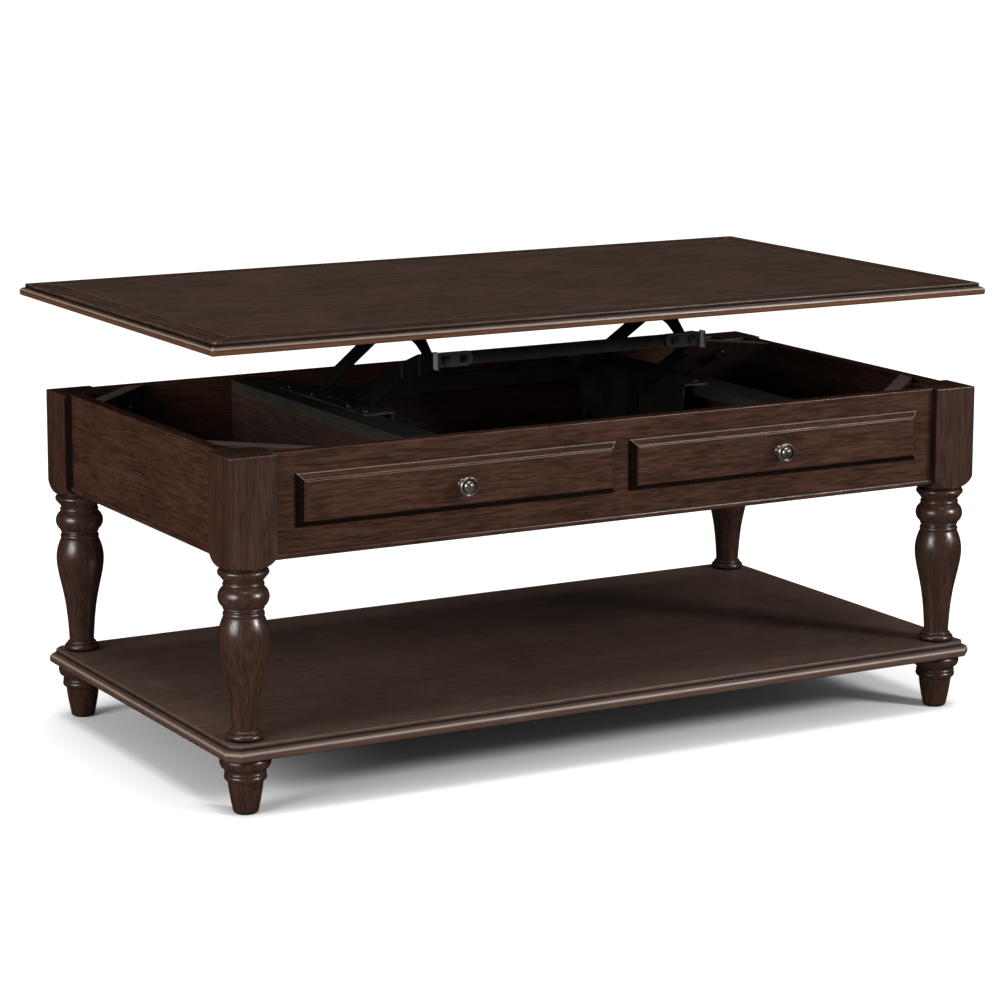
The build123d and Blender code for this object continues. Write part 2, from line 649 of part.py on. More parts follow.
def save_fixed_lift():
    pins, bolts = [], []
    head_r, head_t = TIE_HEAD
    inner, outer = WEB_X[0] - TIE_T, WEB_X[1]
    bolt = rod_x(inner - head_t, outer + head_t, *TIE_BOLT, TIE_BOLT_R)
    bolt += rod_x(inner - head_t, inner, *TIE_BOLT, head_r)
    bolt += rod_x(outer, outer + head_t, *TIE_BOLT, head_r)
    for name, sign in SIDES.items():
        save(f"base_bracket_{name}", on_side(sign, base_bracket()))
        save(f"spring_{name}", on_side(sign, spring()))
        pins += [on_side(sign, pin) for pin in base_pins()]
        bolts.append(on_side(sign, bolt))
    save("base_pivot_pins", *pins)
    save("tie_bar", tie_bar())
    save("tie_bar_bolts", *bolts)


# ---------------------------------------------------------------- the lift: moving parts

TAB_X = 166.0
TAB_Z = (567.5, 586.5)
TAB_Y = (-163.0, -160.0)
BAR_T = 4.0
BAR_X = 222.0
END_PLATE_T = 3.0
LIP_OUT = 10.0
BAR_BOLT_XS = (177.5, 206.0)
BAR_BOLT_R = 3.0
JOG_Y = (19.0, 29.0)
JOG_BACK = 2.7
BEND_R = 3.0


def arm_outline(start, end, width):
    """A bar with round ends between two pivots, drawn in Y and Z."""
    middle = ((start[0] + end[0]) / 2, (start[1] + end[1]) / 2)
    angle = degrees(atan2(end[1] - start[1], end[0] - start[0]))
    length = sqrt((end[0] - start[0]) ** 2 + (end[1] - start[1]) ** 2)
    return Pos(*middle) * Rot(0, 0, angle) * SlotCenterToCenter(length, width)


def pressed_rib(start, end, x_face):
    """A shallow stiffening groove along the middle of one face of an arm."""
    middle = ((start[0] + end[0]) / 2, (start[1] + end[1]) / 2)
    angle = degrees(atan2(end[1] - start[1], end[0] - start[0]))
    sketch = Pos(*middle) * Rot(0, 0, angle) * SlotCenterToCenter(ARM_LEN - 90, 7)
    return plate_yz(sketch, (x_face - 0.7, x_face + 0.7))


def front_arm_strip():
    """The front arm seen from above: its upper end steps inward, towards the middle of the table."""
    near, far = FRONT_KNEE[0] + JOG_Y[0], FRONT_KNEE[0] + JOG_Y[1]
    sketch = Polygon((KNEE_PLATE_X[1], TAB_Y[0]), (KNEE_PLATE_X[1], near), (FRONT_ARM_X[1], far),
                     (FRONT_ARM_X[1], REAR_PIVOT[0]), (FRONT_ARM_X[0], REAR_PIVOT[0]),
                     (FRONT_ARM_X[0], far + JOG_BACK), (KNEE_PLATE_X[0], near + JOG_BACK),
                     (KNEE_PLATE_X[0], TAB_Y[0]), align=None)
    bends = sketch.vertices().filter_by_position(Axis.Y, near - 1, far + JOG_BACK + 1)
    return fillet(bends, BEND_R)


def front_arm():
    """The right-hand front arm: bar, stepped knee plate, spring lug and the tab for the crossbar."""
    ky, kz = FRONT_KNEE
    sketch = arm_outline(FRONT_PIVOT, FRONT_KNEE, ARM_W)
    sketch += Polygon((ky + 34, kz - 30), (ky + 26, kz - 28), (ky - 14, kz - 8), (TAB_Y[0], TAB_Z[0]),
                      (TAB_Y[0], TAB_Z[1]), (ky - 12, kz + 14), (ky + 20, kz + 7), (ky + 34, kz - 10), align=None)
    sketch += arm_outline(FRONT_PIVOT, LUG, 18)
    for place in (FRONT_PIVOT, FRONT_KNEE):
        sketch -= Pos(*place) * Circle(PIN_R + PIN_CLEAR)
    sketch -= Pos(*LUG) * Circle(LUG_PIN_R)
    strip = Pos(0, 0, WEB_Z0) * prism(front_arm_strip(), TOP_Z - WEB_Z0)
    arm = plate_yz(sketch, (KNEE_PLATE_X[0], FRONT_ARM_X[1])) & strip
    for x in FRONT_ARM_X:
        arm -= pressed_rib(FRONT_PIVOT, FRONT_KNEE, x)
    arm += block(TAB_X, KNEE_PLATE_X[1], *TAB_Y, *TAB_Z)
    for x in BAR_BOLT_XS:
        arm -= rod_y(TAB_Y[0] - 1, TAB_Y[1] + 1, x, sum(TAB_Z) / 2, BAR_BOLT_R)
    return arm


def rear_arm():
    """The right-hand rear arm. Its upper hole is the pivot with extra clearance."""
    sketch = arm_outline(REAR_PIVOT, REAR_KNEE, ARM_W)
    sketch -= Pos(*REAR_PIVOT) * Circle(PIN_R + PIN_CLEAR)
    sketch -= Pos(*REAR_KNEE) * Circle(PIN_R + OPEN_PIVOT_CLEAR)
    arm = plate_yz(sketch, REAR_ARM_X)
    for x in REAR_ARM_X:
        arm -= pressed_rib(REAR_PIVOT, REAR_KNEE, x)
    return arm


def crossbar():
    """The flat bar between the two front arms."""
    y0 = TAB_Y[0] - BAR_T
    bar = block(-BAR_X, BAR_X, y0, TAB_Y[0], *TAB_Z)
    for x in BAR_BOLT_XS:
        for sign in SIDES.values():
            bar -= rod_y(y0 - 1, TAB_Y[0] + 1, sign * x, sum(TAB_Z) / 2, BAR_BOLT_R)
    return bar


def end_plate():
    """The right-hand end plate of the crossbar, with its taller lip turned forward."""
    y1 = TAB_Y[0] - BAR_T
    y0 = y1 - END_PLATE_T
    plate = block(TAB_X - 3, BAR_X + 3, y0, y1, TAB_Z[0] - 1, TAB_Z[1] + 1)
    inner = plate.edges().filter_by(Axis.Y).group_by(Axis.X)[0]
    plate = fillet(inner, 9.0)
    plate += block(BAR_X, BAR_X + 3, y0 - LIP_OUT, y1, TAB_Z[0] - 3, TAB_Z[1] + 3)
    for x in BAR_BOLT_XS:
        plate -= rod_y(y0 - 1, y1 + 1, x, sum(TAB_Z) / 2, BAR_BOLT_R)
    return plate


def crossbar_bolt(x):
    """A hexagon bolt through end plate, crossbar and tab, with its nut behind."""
    z = sum(TAB_Z) / 2
    y0 = TAB_Y[0] - BAR_T - END_PLATE_T
    bolt = rod_y(y0, TAB_Y[1] + 8, x, z, BAR_BOLT_R)
    head = extrude(Plane.XZ.offset(-y0) * Pos(x, z) * RegularPolygon(5.8, 6), 4.0)
    nut = extrude(Plane.XZ.offset(-TAB_Y[1]) * Pos(x, z) * RegularPolygon(5.8, 6), -5.0)
    return bolt + head + nut


def top_bracket():
    """The right-hand bracket under the top: two legs down to the knees, and a screwed flange."""
    z0, z1 = TOP_Z - SHEET_T, TOP_Z
    fy, fz = FRONT_KNEE
    ry, rz = REAR_KNEE
    spine = Polygon((fy + 30, z1), (fy + 38, z1 - 18), (ry - 30, z1 - 18), (ry + 26, z1 - 12), (ry + 40, z1),
                    align=None)
    front_leg = Polygon((fy - 8, fz + 5), (fy + 39, z1 - 12), (fy + 92, z1 - 12), (fy + 66, fz + 24),
                        (fy + 43, fz + 17), (fy + 28, fz + 8), (fy + 8, fz - 8), align=None)
    rear_leg = Polygon((ry - 9.5, rz), (ry + 9.5, rz), (ry + 28, z1 - 10), (ry - 28, z1 - 14), align=None)
    sketch = spine + front_leg + rear_leg
    for place in (FRONT_KNEE, REAR_KNEE):
        sketch += Pos(*place) * Circle(10.0)
    for place in (FRONT_KNEE, REAR_KNEE):
        sketch -= Pos(*place) * Circle(PIN_R + PIN_CLEAR)
    plate = plate_yz(sketch, TOP_PLATE_X)
    flange = block(TOP_PLATE_FLANGE_X, TOP_PLATE_X[1], fy + 30, ry + 40, z0, z1)
    for y in TOP_SCREW_YS:
        flange -= rod_z(z0 - 1, z1 + 1, TOP_SCREW_X, y, PANEL_SCREW_R + 0.2)
    return plate + flange


def knee_pins():
    """The rivets through the right-hand knees. The bracket carries both of them."""
    inner = TOP_PLATE_X[0] - 1.8
    front = rod_x(inner, KNEE_PLATE_X[1] + 1.2, *FRONT_KNEE, PIN_R)
    front += rod_x(inner, TOP_PLATE_X[0] - 0.3, *FRONT_KNEE, 6.5)
    front += rod_x(TOP_PLATE_X[1] + 0.3, KNEE_PLATE_X[0] - 0.3, *FRONT_KNEE, 7.5)
    front += rod_x(KNEE_PLATE_X[1] + 0.3, KNEE_PLATE_X[1] + 1.2, *FRONT_KNEE, 5.5)
    rear = rod_x(inner, REAR_ARM_X[1] + 1.2, *REAR_KNEE, PIN_R)
    rear += rod_x(inner, TOP_PLATE_X[0] - 0.3, *REAR_KNEE, 6.5)
    rear += rod_x(TOP_PLATE_X[1] + 0.3, REAR_ARM_X[0] - 0.3, *REAR_KNEE, 7.5)
    rear += rod_x(REAR_ARM_X[1] + 0.3, REAR_ARM_X[1] + 1.2, *REAR_KNEE, 5.5)
    return [front, rear]


def save_moving_lift():
    pins, lugs, bolts, plates = [], [], [], []
    lug_pin = rod_x(FRONT_ARM_X[0], SPRING_X + 5, *LUG, LUG_PIN_R)
    for name, sign in SIDES.items():
        save(f"front_arm_{name}", on_side(sign, front_arm()))
        save(f"rear_arm_{name}", on_side(sign, rear_arm()))
        save(f"top_bracket_{name}", on_side(sign, top_bracket()))
        pins += [on_side(sign, pin) for pin in knee_pins()]
        lugs.append(on_side(sign, lug_pin))
        plates.append(on_side(sign, end_plate()))
        bolts += [on_side(sign, crossbar_bolt(x)) for x in BAR_BOLT_XS]
    save("crossbar", crossbar())
    save("crossbar_end_plates", *plates)
    save("crossbar_bolts", *bolts)
    save("knee_pins", *pins)
    save("spring_lug_pins", *lugs)
    under = TOP_Z - SHEET_T
    save("top_bracket_screws", *[rod_z(under, TOP_Z + TOP_SCREW_DEPTH, x, y, PANEL_SCREW_R)
                                 + rod_z(under - 2, under, x, y, 4.0) for x, y in top_screw_places()])


save_top()
save_legs()
save_feet()
save_shelf()
save_aprons()
save_fronts()
save_braces()
save_case()
save_case_screws()
save_fixed_lift()
save_moving_lift()
print(f"closed to raised: {LIFT:.1f} up and {SLIDE_BACK:.1f} back, frame moved {FRAME_Y:.2f} along Y")
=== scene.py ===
import math

import bpy
from mathutils import Matrix, Vector


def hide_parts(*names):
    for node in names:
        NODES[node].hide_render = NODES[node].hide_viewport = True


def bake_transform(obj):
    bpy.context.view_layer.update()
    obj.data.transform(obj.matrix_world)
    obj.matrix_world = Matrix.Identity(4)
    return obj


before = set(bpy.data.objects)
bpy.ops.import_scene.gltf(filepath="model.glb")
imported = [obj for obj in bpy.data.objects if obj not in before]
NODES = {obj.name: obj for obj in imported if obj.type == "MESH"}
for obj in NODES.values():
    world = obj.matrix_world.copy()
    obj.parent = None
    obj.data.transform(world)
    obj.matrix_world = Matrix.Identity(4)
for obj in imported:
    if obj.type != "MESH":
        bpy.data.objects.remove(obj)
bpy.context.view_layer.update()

# Looks of the lift top coffee table. Metres, in the row's frame: +X right, +Y back, +Z up.

MM = 0.001


# ---------------------------------------------------------------- node helpers

def new_material(name):
    """An empty node material with its output node."""
    material = bpy.data.materials.new(name)
    material.use_nodes = True
    tree = material.node_tree
    tree.nodes.clear()
    return material, tree, tree.nodes.new("ShaderNodeOutputMaterial")


def add(tree, kind, inputs=None, **settings):
    """Adds a node. inputs maps a socket's name or number to a value or to another node's output."""
    node = tree.nodes.new(kind)
    for key, value in settings.items():
        setattr(node, key, value)
    for key, value in (inputs or {}).items():
        if isinstance(value, bpy.types.NodeSocket):
            tree.links.new(value, node.inputs[key])
        else:
            node.inputs[key].default_value = value
    return node


def math_node(tree, operation, a, b=0.0, clamp=False):
    return add(tree, "ShaderNodeMath", {0: a, 1: b}, operation=operation, use_clamp=clamp).outputs[0]


def times(tree, a, b):
    return math_node(tree, "MULTIPLY", a, b)


def scaled(colour, factor):
    return tuple(part * factor for part in colour)


def remap(tree, value, low, high, to_low=0.0, to_high=1.0):
    """value from low..high to to_low..to_high, held at the ends, with soft ends."""
    node = add(tree, "ShaderNodeMapRange", {"Value": value, "From Min": low, "From Max": high,
                                            "To Min": to_low, "To Max": to_high},
               interpolation_type="SMOOTHSTEP")
    return node.outputs["Result"]


def blend_colours(tree, factor, a, b, mode="MIX"):
    node = add(tree, "ShaderNodeMix", data_type="RGBA", blend_type=mode)
    for socket, value in ((node.inputs[0], factor), (node.inputs[6], a), (node.inputs[7], b)):
        if isinstance(value, bpy.types.NodeSocket):
            tree.links.new(value, socket)
        else:
            socket.default_value = value if isinstance(value, float) else (*value, 1.0)
    return node.outputs[2]


def noise(tree, vector, scale, detail=4.0, roughness=0.55, distortion=0.0):
    return add(tree, "ShaderNodeTexNoise", {"Vector": vector, "Scale": scale, "Detail": detail,
                                            "Roughness": roughness, "Distortion": distortion}).outputs[0]


def object_place(tree):
    return add(tree, "ShaderNodeTexCoord").outputs["Object"]


def stretched(tree, vector, scale, shift):
    """The coordinates squeezed along the grain and moved, so that each board has a figure of its own."""
    return add(tree, "ShaderNodeMapping", {"Vector": vector, "Location": shift, "Scale": scale}).outputs[0]


def hollow_mask(tree, reach):
    """1 deep in grooves and inner corners, 0 in the open."""
    ao = add(tree, "ShaderNodeAmbientOcclusion", {"Distance": reach}, samples=4)
    return math_node(tree, "SUBTRACT", 1.0, ao.outputs["AO"], clamp=True)


def edge_mask(tree, reach):
    """1 on outer edges, 0 on flat faces."""
    ao = add(tree, "ShaderNodeAmbientOcclusion", {"Distance": reach}, samples=4, inside=True, only_local=True)
    return math_node(tree, "SUBTRACT", 1.0, ao.outputs["AO"], clamp=True)


def rounded_normal(tree, radius):
    """The surface normal with its hard edges softened, as a lacquer coat or paint softens them."""
    return add(tree, "ShaderNodeBevel", {"Radius": radius}, samples=4).outputs[0]


def bump(tree, height, distance, strength, normal):
    return add(tree, "ShaderNodeBump", {"Height": height, "Distance": distance, "Strength": strength,
                                        "Normal": normal}).outputs[0]


# ---------------------------------------------------------------- wood

GRAIN_SCALE = {"X": (0.07, 1.0, 1.0), "Y": (1.0, 0.07, 1.0), "Z": (1.0, 1.0, 0.07)}
FLECK_SCALE = {"X": (0.10, 1.0, 1.0), "Y": (1.0, 0.10, 1.0), "Z": (1.0, 1.0, 0.10)}
PORE_SCALE = {"X": (0.05, 1.0, 1.0), "Y": (1.0, 0.05, 1.0), "Z": (1.0, 1.0, 0.05)}
# Colour of the painted highlights on edges that face up and on a moulded nose's crown
HIGHLIGHT_COLOUR = (0.30, 0.24, 0.20)
POST_FOOT_Z = 345.0
# A moulded board's underside and nose thickness in millimetres, and the colour of a lighter orange band on
# its lower nose
TOP_NOSE = (632.7, 12.0, (0.090, 0.032, 0.013))
SHELF_NOSE = (81.0, 14.5, (0.050, 0.0235, 0.0155))


def level(tree, value):
    """A grey from one number, to multiply a colour with."""
    return add(tree, "ShaderNodeCombineColor", {0: value, 1: value, 2: value}).outputs[0]


def face_parts(tree):
    """X, Y and Z of the way a face points, in the object's own frame."""
    normal = add(tree, "ShaderNodeTexCoord").outputs["Normal"]
    return add(tree, "ShaderNodeSeparateXYZ", {0: normal}).outputs


def grain_tone(tree, bent, along, shift, contrast):
    """0 in the dark grain, 1 in the light: long streaks, short flecks and a soft wide figure."""
    streaks = noise(tree, stretched(tree, bent, GRAIN_SCALE[along], shift), 170.0, 6.0, 0.62, 0.1)
    flecks = noise(tree, stretched(tree, bent, FLECK_SCALE[along], shift), 360.0, 3.0, 0.6)
    figure = noise(tree, stretched(tree, bent, GRAIN_SCALE[along], (3.1, 1.7, 2.3)), 22.0, 3.0, 0.5)
    tone = math_node(tree, "ADD", times(tree, streaks, 0.42), times(tree, flecks, 0.48))
    tone = math_node(tree, "ADD", tone, times(tree, figure, 0.10))
    return remap(tree, tone, 0.5 - 0.14 / contrast, 0.5 + 0.14 / contrast)


def post_shade_mask(tree, away, place):
    """The sides of a leg's square post that face the aprons, darkened as painted shade."""
    spot = add(tree, "ShaderNodeSeparateXYZ", {0: place}).outputs
    outward_x = times(tree, math_node(tree, "SIGN", spot[0]), away[0])
    outward_y = times(tree, math_node(tree, "SIGN", spot[1]), away[1])
    inward = remap(tree, math_node(tree, "MINIMUM", outward_x, outward_y), -0.5, -0.8)
    square = remap(tree, spot[2], POST_FOOT_Z * MM, (POST_FOOT_Z + 5.0) * MM)
    return times(tree, times(tree, inward, square), 0.85)


def nose_finish(tree, colour, along, place, shift, deep, nose):
    """A board's moulded edge: painted shade in the step and underneath, a painted highlight on the crown, a
    lighter orange band below it.
    """
    away = face_parts(tree)
    underside, thick, nose_band_colour = nose
    height = math_node(tree, "SUBTRACT", add(tree, "ShaderNodeSeparateXYZ", {0: place}).outputs[2],
                       underside * MM)
    height = math_node(tree, "DIVIDE", height, thick * MM)
    low = times(tree, remap(tree, away[2], -0.75, -0.5), remap(tree, height, 0.46, 0.62, 1.0, 0.0))
    streak = remap(tree, noise(tree, stretched(tree, place, GRAIN_SCALE[along], shift), 60.0, 3.0, 0.6),
                   0.35, 0.65, 0.35, 0.9)
    colour = blend_colours(tree, times(tree, low, streak), colour, nose_band_colour)
    # Painted highlight along the nose's crown
    crown_highlight = times(tree, remap(tree, height, 0.64, 0.73), remap(tree, height, 0.83, 0.92, 1.0, 0.0))
    colour = blend_colours(tree, times(tree, crown_highlight, 0.38), colour, HIGHLIGHT_COLOUR)
    # Painted shade in the step and on the faces that point down
    step = times(tree, remap(tree, height, 0.90, 1.0), remap(tree, height, 1.18, 1.33, 1.0, 0.0))
    dark = math_node(tree, "MAXIMUM", times(tree, step, remap(tree, away[2], 0.9, 0.6)),
                     remap(tree, away[2], -0.6, -0.85))
    return blend_colours(tree, times(tree, dark, 0.9), colour, scaled(deep, 0.25))


def edge_finish(tree, colour, place, normal, warm, wear, edge_highlight, fine_edges):
    """A thinner stain on the edges and a painted highlight line on the edges that face up."""
    edges = remap(tree, edge_mask(tree, 3.0 * MM), 0.28, 0.75)
    rub = remap(tree, noise(tree, place, 55.0, 4.0, 0.6), 0.32, 0.62, 0.45, 1.0)
    colour = blend_colours(tree, times(tree, times(tree, edges, rub), wear), colour, scaled(warm, 2.4))
    # Painted highlight: a light line on the edges that face up
    up = remap(tree, add(tree, "ShaderNodeSeparateXYZ", {0: normal}).outputs[2], 0.2, 0.6)
    ridges = remap(tree, edge_mask(tree, 2.0 * MM), 0.08, 0.28) if fine_edges else edges
    return blend_colours(tree, times(tree, times(tree, ridges, up), edge_highlight), colour, HIGHLIGHT_COLOUR)


def lacquer(tree, place, fine, pores, grime_and_shade, gloss, normal):
    """The coat's roughness and its normal, with open pores and a slight unevenness."""
    satin = remap(tree, fine, 0.25, 0.75, gloss - 0.04, gloss + 0.06)
    satin = math_node(tree, "ADD", satin, times(tree, pores, 0.12))
    satin = math_node(tree, "ADD", satin, times(tree, grime_and_shade, 0.3), clamp=True)
    height = math_node(tree, "SUBTRACT", times(tree, fine, 0.35), pores)
    normal = bump(tree, height, 0.12 * MM, 0.4, normal)
    return satin, bump(tree, noise(tree, place, 190.0, 2.0, 0.5), 0.25 * MM, 0.06, normal)


def wood(name, along, deep, warm, seed, gloss=0.23, wear=0.5, glaze_and_shade=0.85, contrast=1.0, edge_highlight=0.75,
         shaded_sides=False, shaded_steps=False, nose=None, top_face=None, shine=0.24):
    """Stained and lacquered wood: straight grain, open pores, worn edges, painted highlights on the edges
    that face up, and dark glaze with painted shade in the hollows.
    """
    material, tree, output = new_material(name)
    place = object_place(tree)
    shift = (seed * 1.37 % 5.0, seed * 2.11 % 5.0, seed * 0.73 % 5.0)
    drift = add(tree, "ShaderNodeTexNoise", {"Vector": place, "Scale": 2.2, "Detail": 2.0})
    drift = add(tree, "ShaderNodeVectorMath", {0: drift.outputs["Color"], 3: 0.004}, operation="SCALE")
    bent = add(tree, "ShaderNodeVectorMath", {0: place, 1: drift.outputs[0]}, operation="ADD").outputs[0]
    pore_place = stretched(tree, bent, PORE_SCALE[along], shift)
    pores = remap(tree, noise(tree, pore_place, 560.0, 2.0, 0.5), 0.58, 0.70)
    fine = noise(tree, pore_place, 420.0, 4.0, 0.65)

    colour = blend_colours(tree, grain_tone(tree, bent, along, shift, contrast), deep, warm)
    blotch = remap(tree, noise(tree, place, 7.0, 4.0, 0.55), 0.3, 0.7, 0.90, 1.09)
    colour = blend_colours(tree, 1.0, colour, level(tree, blotch), "MULTIPLY")
    colour = blend_colours(tree, times(tree, pores, 0.6), colour, scaled(deep, 0.35))
    normal = rounded_normal(tree, 1.1 * MM)
    colour = edge_finish(tree, colour, place, normal, warm, wear, edge_highlight, shaded_sides)
    away = face_parts(tree)
    # Faces that point up take a colour of their own; on the lift rails this is painted shade from the raised
    # top
    if top_face:
        colour = blend_colours(tree, remap(tree, away[2], 0.7, 0.95), colour, top_face)
    if nose:
        colour = nose_finish(tree, colour, along, place, shift, deep, nose)
    # Painted shade on the faces that point down or to the left, as on the drawer fronts' lower and left
    # bevels
    if shaded_sides:
        dark = math_node(tree, "MAXIMUM", remap(tree, away[2], -0.15, -0.4), remap(tree, away[0], -0.2, -0.5))
        colour = blend_colours(tree, times(tree, dark, 0.96), colour, scaled(deep, 0.15))
    # Painted shade on the posts' sides that face the aprons
    if shaded_steps:
        colour = blend_colours(tree, post_shade_mask(tree, away, place), colour, scaled(deep, 0.3))
    # Dark glaze and painted shade in the hollows and between parts
    grime_and_shade = times(tree, remap(tree, hollow_mask(tree, 9.0 * MM), 0.30, 0.70), glaze_and_shade)
    colour = blend_colours(tree, grime_and_shade, colour, scaled(deep, 0.10))

    satin, normal = lacquer(tree, place, fine, pores, grime_and_shade, gloss, normal)
    shader = add(tree, "ShaderNodeBsdfPrincipled", {
        "Base Color": colour, "Roughness": satin, "Normal": normal, "IOR": 1.45, "Specular IOR Level": shine})
    tree.links.new(shader.outputs[0], output.inputs["Surface"])
    return material


# ---------------------------------------------------------------- metal

LIP_X = 220.0
# Pale colour put on the end plates' outward faces as painted light
LIT_END = (0.31, 0.29, 0.28)


def painted_steel(name, paint, gloss, bare, lit_ends=False):
    """Sheet steel with a thin dark paint, rubbed through a little on its edges. The outer faces that point
    along X are painted pale, as painted light falling on them."""
    material, tree, output = new_material(name)
    place = object_place(tree)
    orange_peel = noise(tree, place, 420.0, 3.0, 0.5)
    cloud = noise(tree, place, 26.0, 4.0, 0.6)
    dust = noise(tree, place, 900.0, 2.0, 0.5)
    colour = blend_colours(tree, remap(tree, cloud, 0.3, 0.7), scaled(paint, 0.75), scaled(paint, 1.3))
    colour = blend_colours(tree, remap(tree, dust, 0.62, 0.75, 0.0, 0.25), colour, scaled(paint, 2.4))
    worn = times(tree, remap(tree, edge_mask(tree, 1.6 * MM), 0.35, 0.8, 0.0, 0.6),
                 remap(tree, cloud, 0.38, 0.62, 0.15, 1.0))
    colour = blend_colours(tree, worn, colour, bare)
    # Painted light: the outer faces that point along X made pale
    if lit_ends:
        side = remap(tree, math_node(tree, "ABSOLUTE", face_parts(tree)[0]), 0.6, 0.9)
        outward = math_node(tree, "ABSOLUTE", add(tree, "ShaderNodeSeparateXYZ", {0: place}).outputs[0])
        side = times(tree, side, remap(tree, outward, (LIP_X - 2.0) * MM, LIP_X * MM))
        colour = blend_colours(tree, side, colour, LIT_END)
    # Painted shade in the hollows and creases and between parts
    grime_and_shade = remap(tree, hollow_mask(tree, 5.0 * MM), 0.45, 0.9, 0.0, 0.7)
    colour = blend_colours(tree, grime_and_shade, colour, scaled(paint, 0.2))
    rough = remap(tree, cloud, 0.3, 0.7, gloss - 0.06, gloss + 0.08)
    rough = math_node(tree, "ADD", rough, times(tree, grime_and_shade, 0.2), clamp=True)
    normal = bump(tree, orange_peel, 0.2 * MM, 0.12, rounded_normal(tree, 0.5 * MM))
    shader = add(tree, "ShaderNodeBsdfPrincipled", {
        "Base Color": colour, "Metallic": times(tree, worn, 0.5), "Roughness": rough, "Normal": normal,
        "IOR": 1.5, "Specular IOR Level": 0.35})
    tree.links.new(shader.outputs[0], output.inputs["Surface"])
    return material


def plated_metal(name, bright, dark, gloss, patina, scratch_along="X", metal=1.0):
    """Bare or plated metal: fine turning marks, tarnish in the hollows and polish on the edges."""
    material, tree, output = new_material(name)
    place = object_place(tree)
    marks = noise(tree, stretched(tree, place, PORE_SCALE[scratch_along], (0.3, 0.6, 0.9)), 1500.0, 3.0, 0.6)
    cloud = noise(tree, place, 70.0, 5.0, 0.6)
    colour = blend_colours(tree, remap(tree, cloud, 0.32, 0.68), dark, bright)
    colour = blend_colours(tree, remap(tree, edge_mask(tree, 1.4 * MM), 0.3, 0.75, 0.0, 0.8), colour,
                           scaled(bright, 1.5))
    grime_and_shade = remap(tree, hollow_mask(tree, 4.0 * MM), 0.4, 0.85, 0.0, patina)
    colour = blend_colours(tree, grime_and_shade, colour, scaled(dark, 0.12))
    rough = remap(tree, marks, 0.25, 0.75, gloss - 0.06, gloss + 0.1)
    rough = math_node(tree, "ADD", rough, times(tree, grime_and_shade, 0.25), clamp=True)
    normal = bump(tree, marks, 0.05 * MM, 0.2, rounded_normal(tree, 0.4 * MM))
    shader = add(tree, "ShaderNodeBsdfPrincipled", {
        "Base Color": colour, "Metallic": metal, "Roughness": rough, "Normal": normal})
    tree.links.new(shader.outputs[0], output.inputs["Surface"])
    return material


# ---------------------------------------------------------------- materials on the CAD pieces

DEEP = (0.0165, 0.0070, 0.0044)
WARM = (0.0480, 0.0208, 0.0134)
# The top's own grain colours, greyed and lightened by a painted sheen
TOP_DEEP = (0.0210, 0.0122, 0.0087)
TOP_WARM = (0.0565, 0.0330, 0.0236)
# The shelf's grain colours, lightened and greyed by painted sheen and painted light under the top
SHELF_DEEP = (0.0420, 0.0250, 0.0188)
SHELF_WARM = (0.0790, 0.0500, 0.0385)
LEG_DEEP = (0.0150, 0.0062, 0.0039)
LEG_WARM = (0.0440, 0.0188, 0.0119)
BRACE_DEEP = (0.0110, 0.0058, 0.0042)
BRACE_WARM = (0.0220, 0.0122, 0.0090)
BRACE_TOP = (0.0700, 0.0520, 0.0430)
RAIL_DEEP = (0.0150, 0.0140, 0.0115)
RAIL_WARM = (0.0270, 0.0255, 0.0205)
# Painted shade on the lift rails' top faces, under the raised top
RAIL_SHADED_TOP = (0.0105, 0.0100, 0.0082)
INNER_DEEP = (0.0170, 0.0085, 0.0060)
INNER_WARM = (0.0330, 0.0180, 0.0130)
# The compartment floor's colours, lightened as painted light in the dim compartment
FLOOR_DEEP = (0.0500, 0.0300, 0.0220)
FLOOR_WARM = (0.0900, 0.0580, 0.0430)

GRAIN = {"X": ("top_panel", "top_border_front", "top_border_rear", "shelf", "apron_front", "apron_rear",
               "bead_front", "bead_rear", "drawer_front_left", "drawer_front_right", "compartment_floor",
               "floor_cleats"),
         "Y": ("top_border_left", "top_border_right", "apron_left", "apron_right", "bead_sides",
               "divider_left", "divider_right", "lift_rail_left", "lift_rail_right"),
         "Z": ("leg_front_left", "leg_front_right", "leg_rear_left", "leg_rear_right", "foot_front_left",
               "foot_front_right", "foot_rear_left", "foot_rear_right", "divider_cleats",
               "corner_brace_front_left", "corner_brace_front_right", "corner_brace_rear_left",
               "corner_brace_rear_right")}
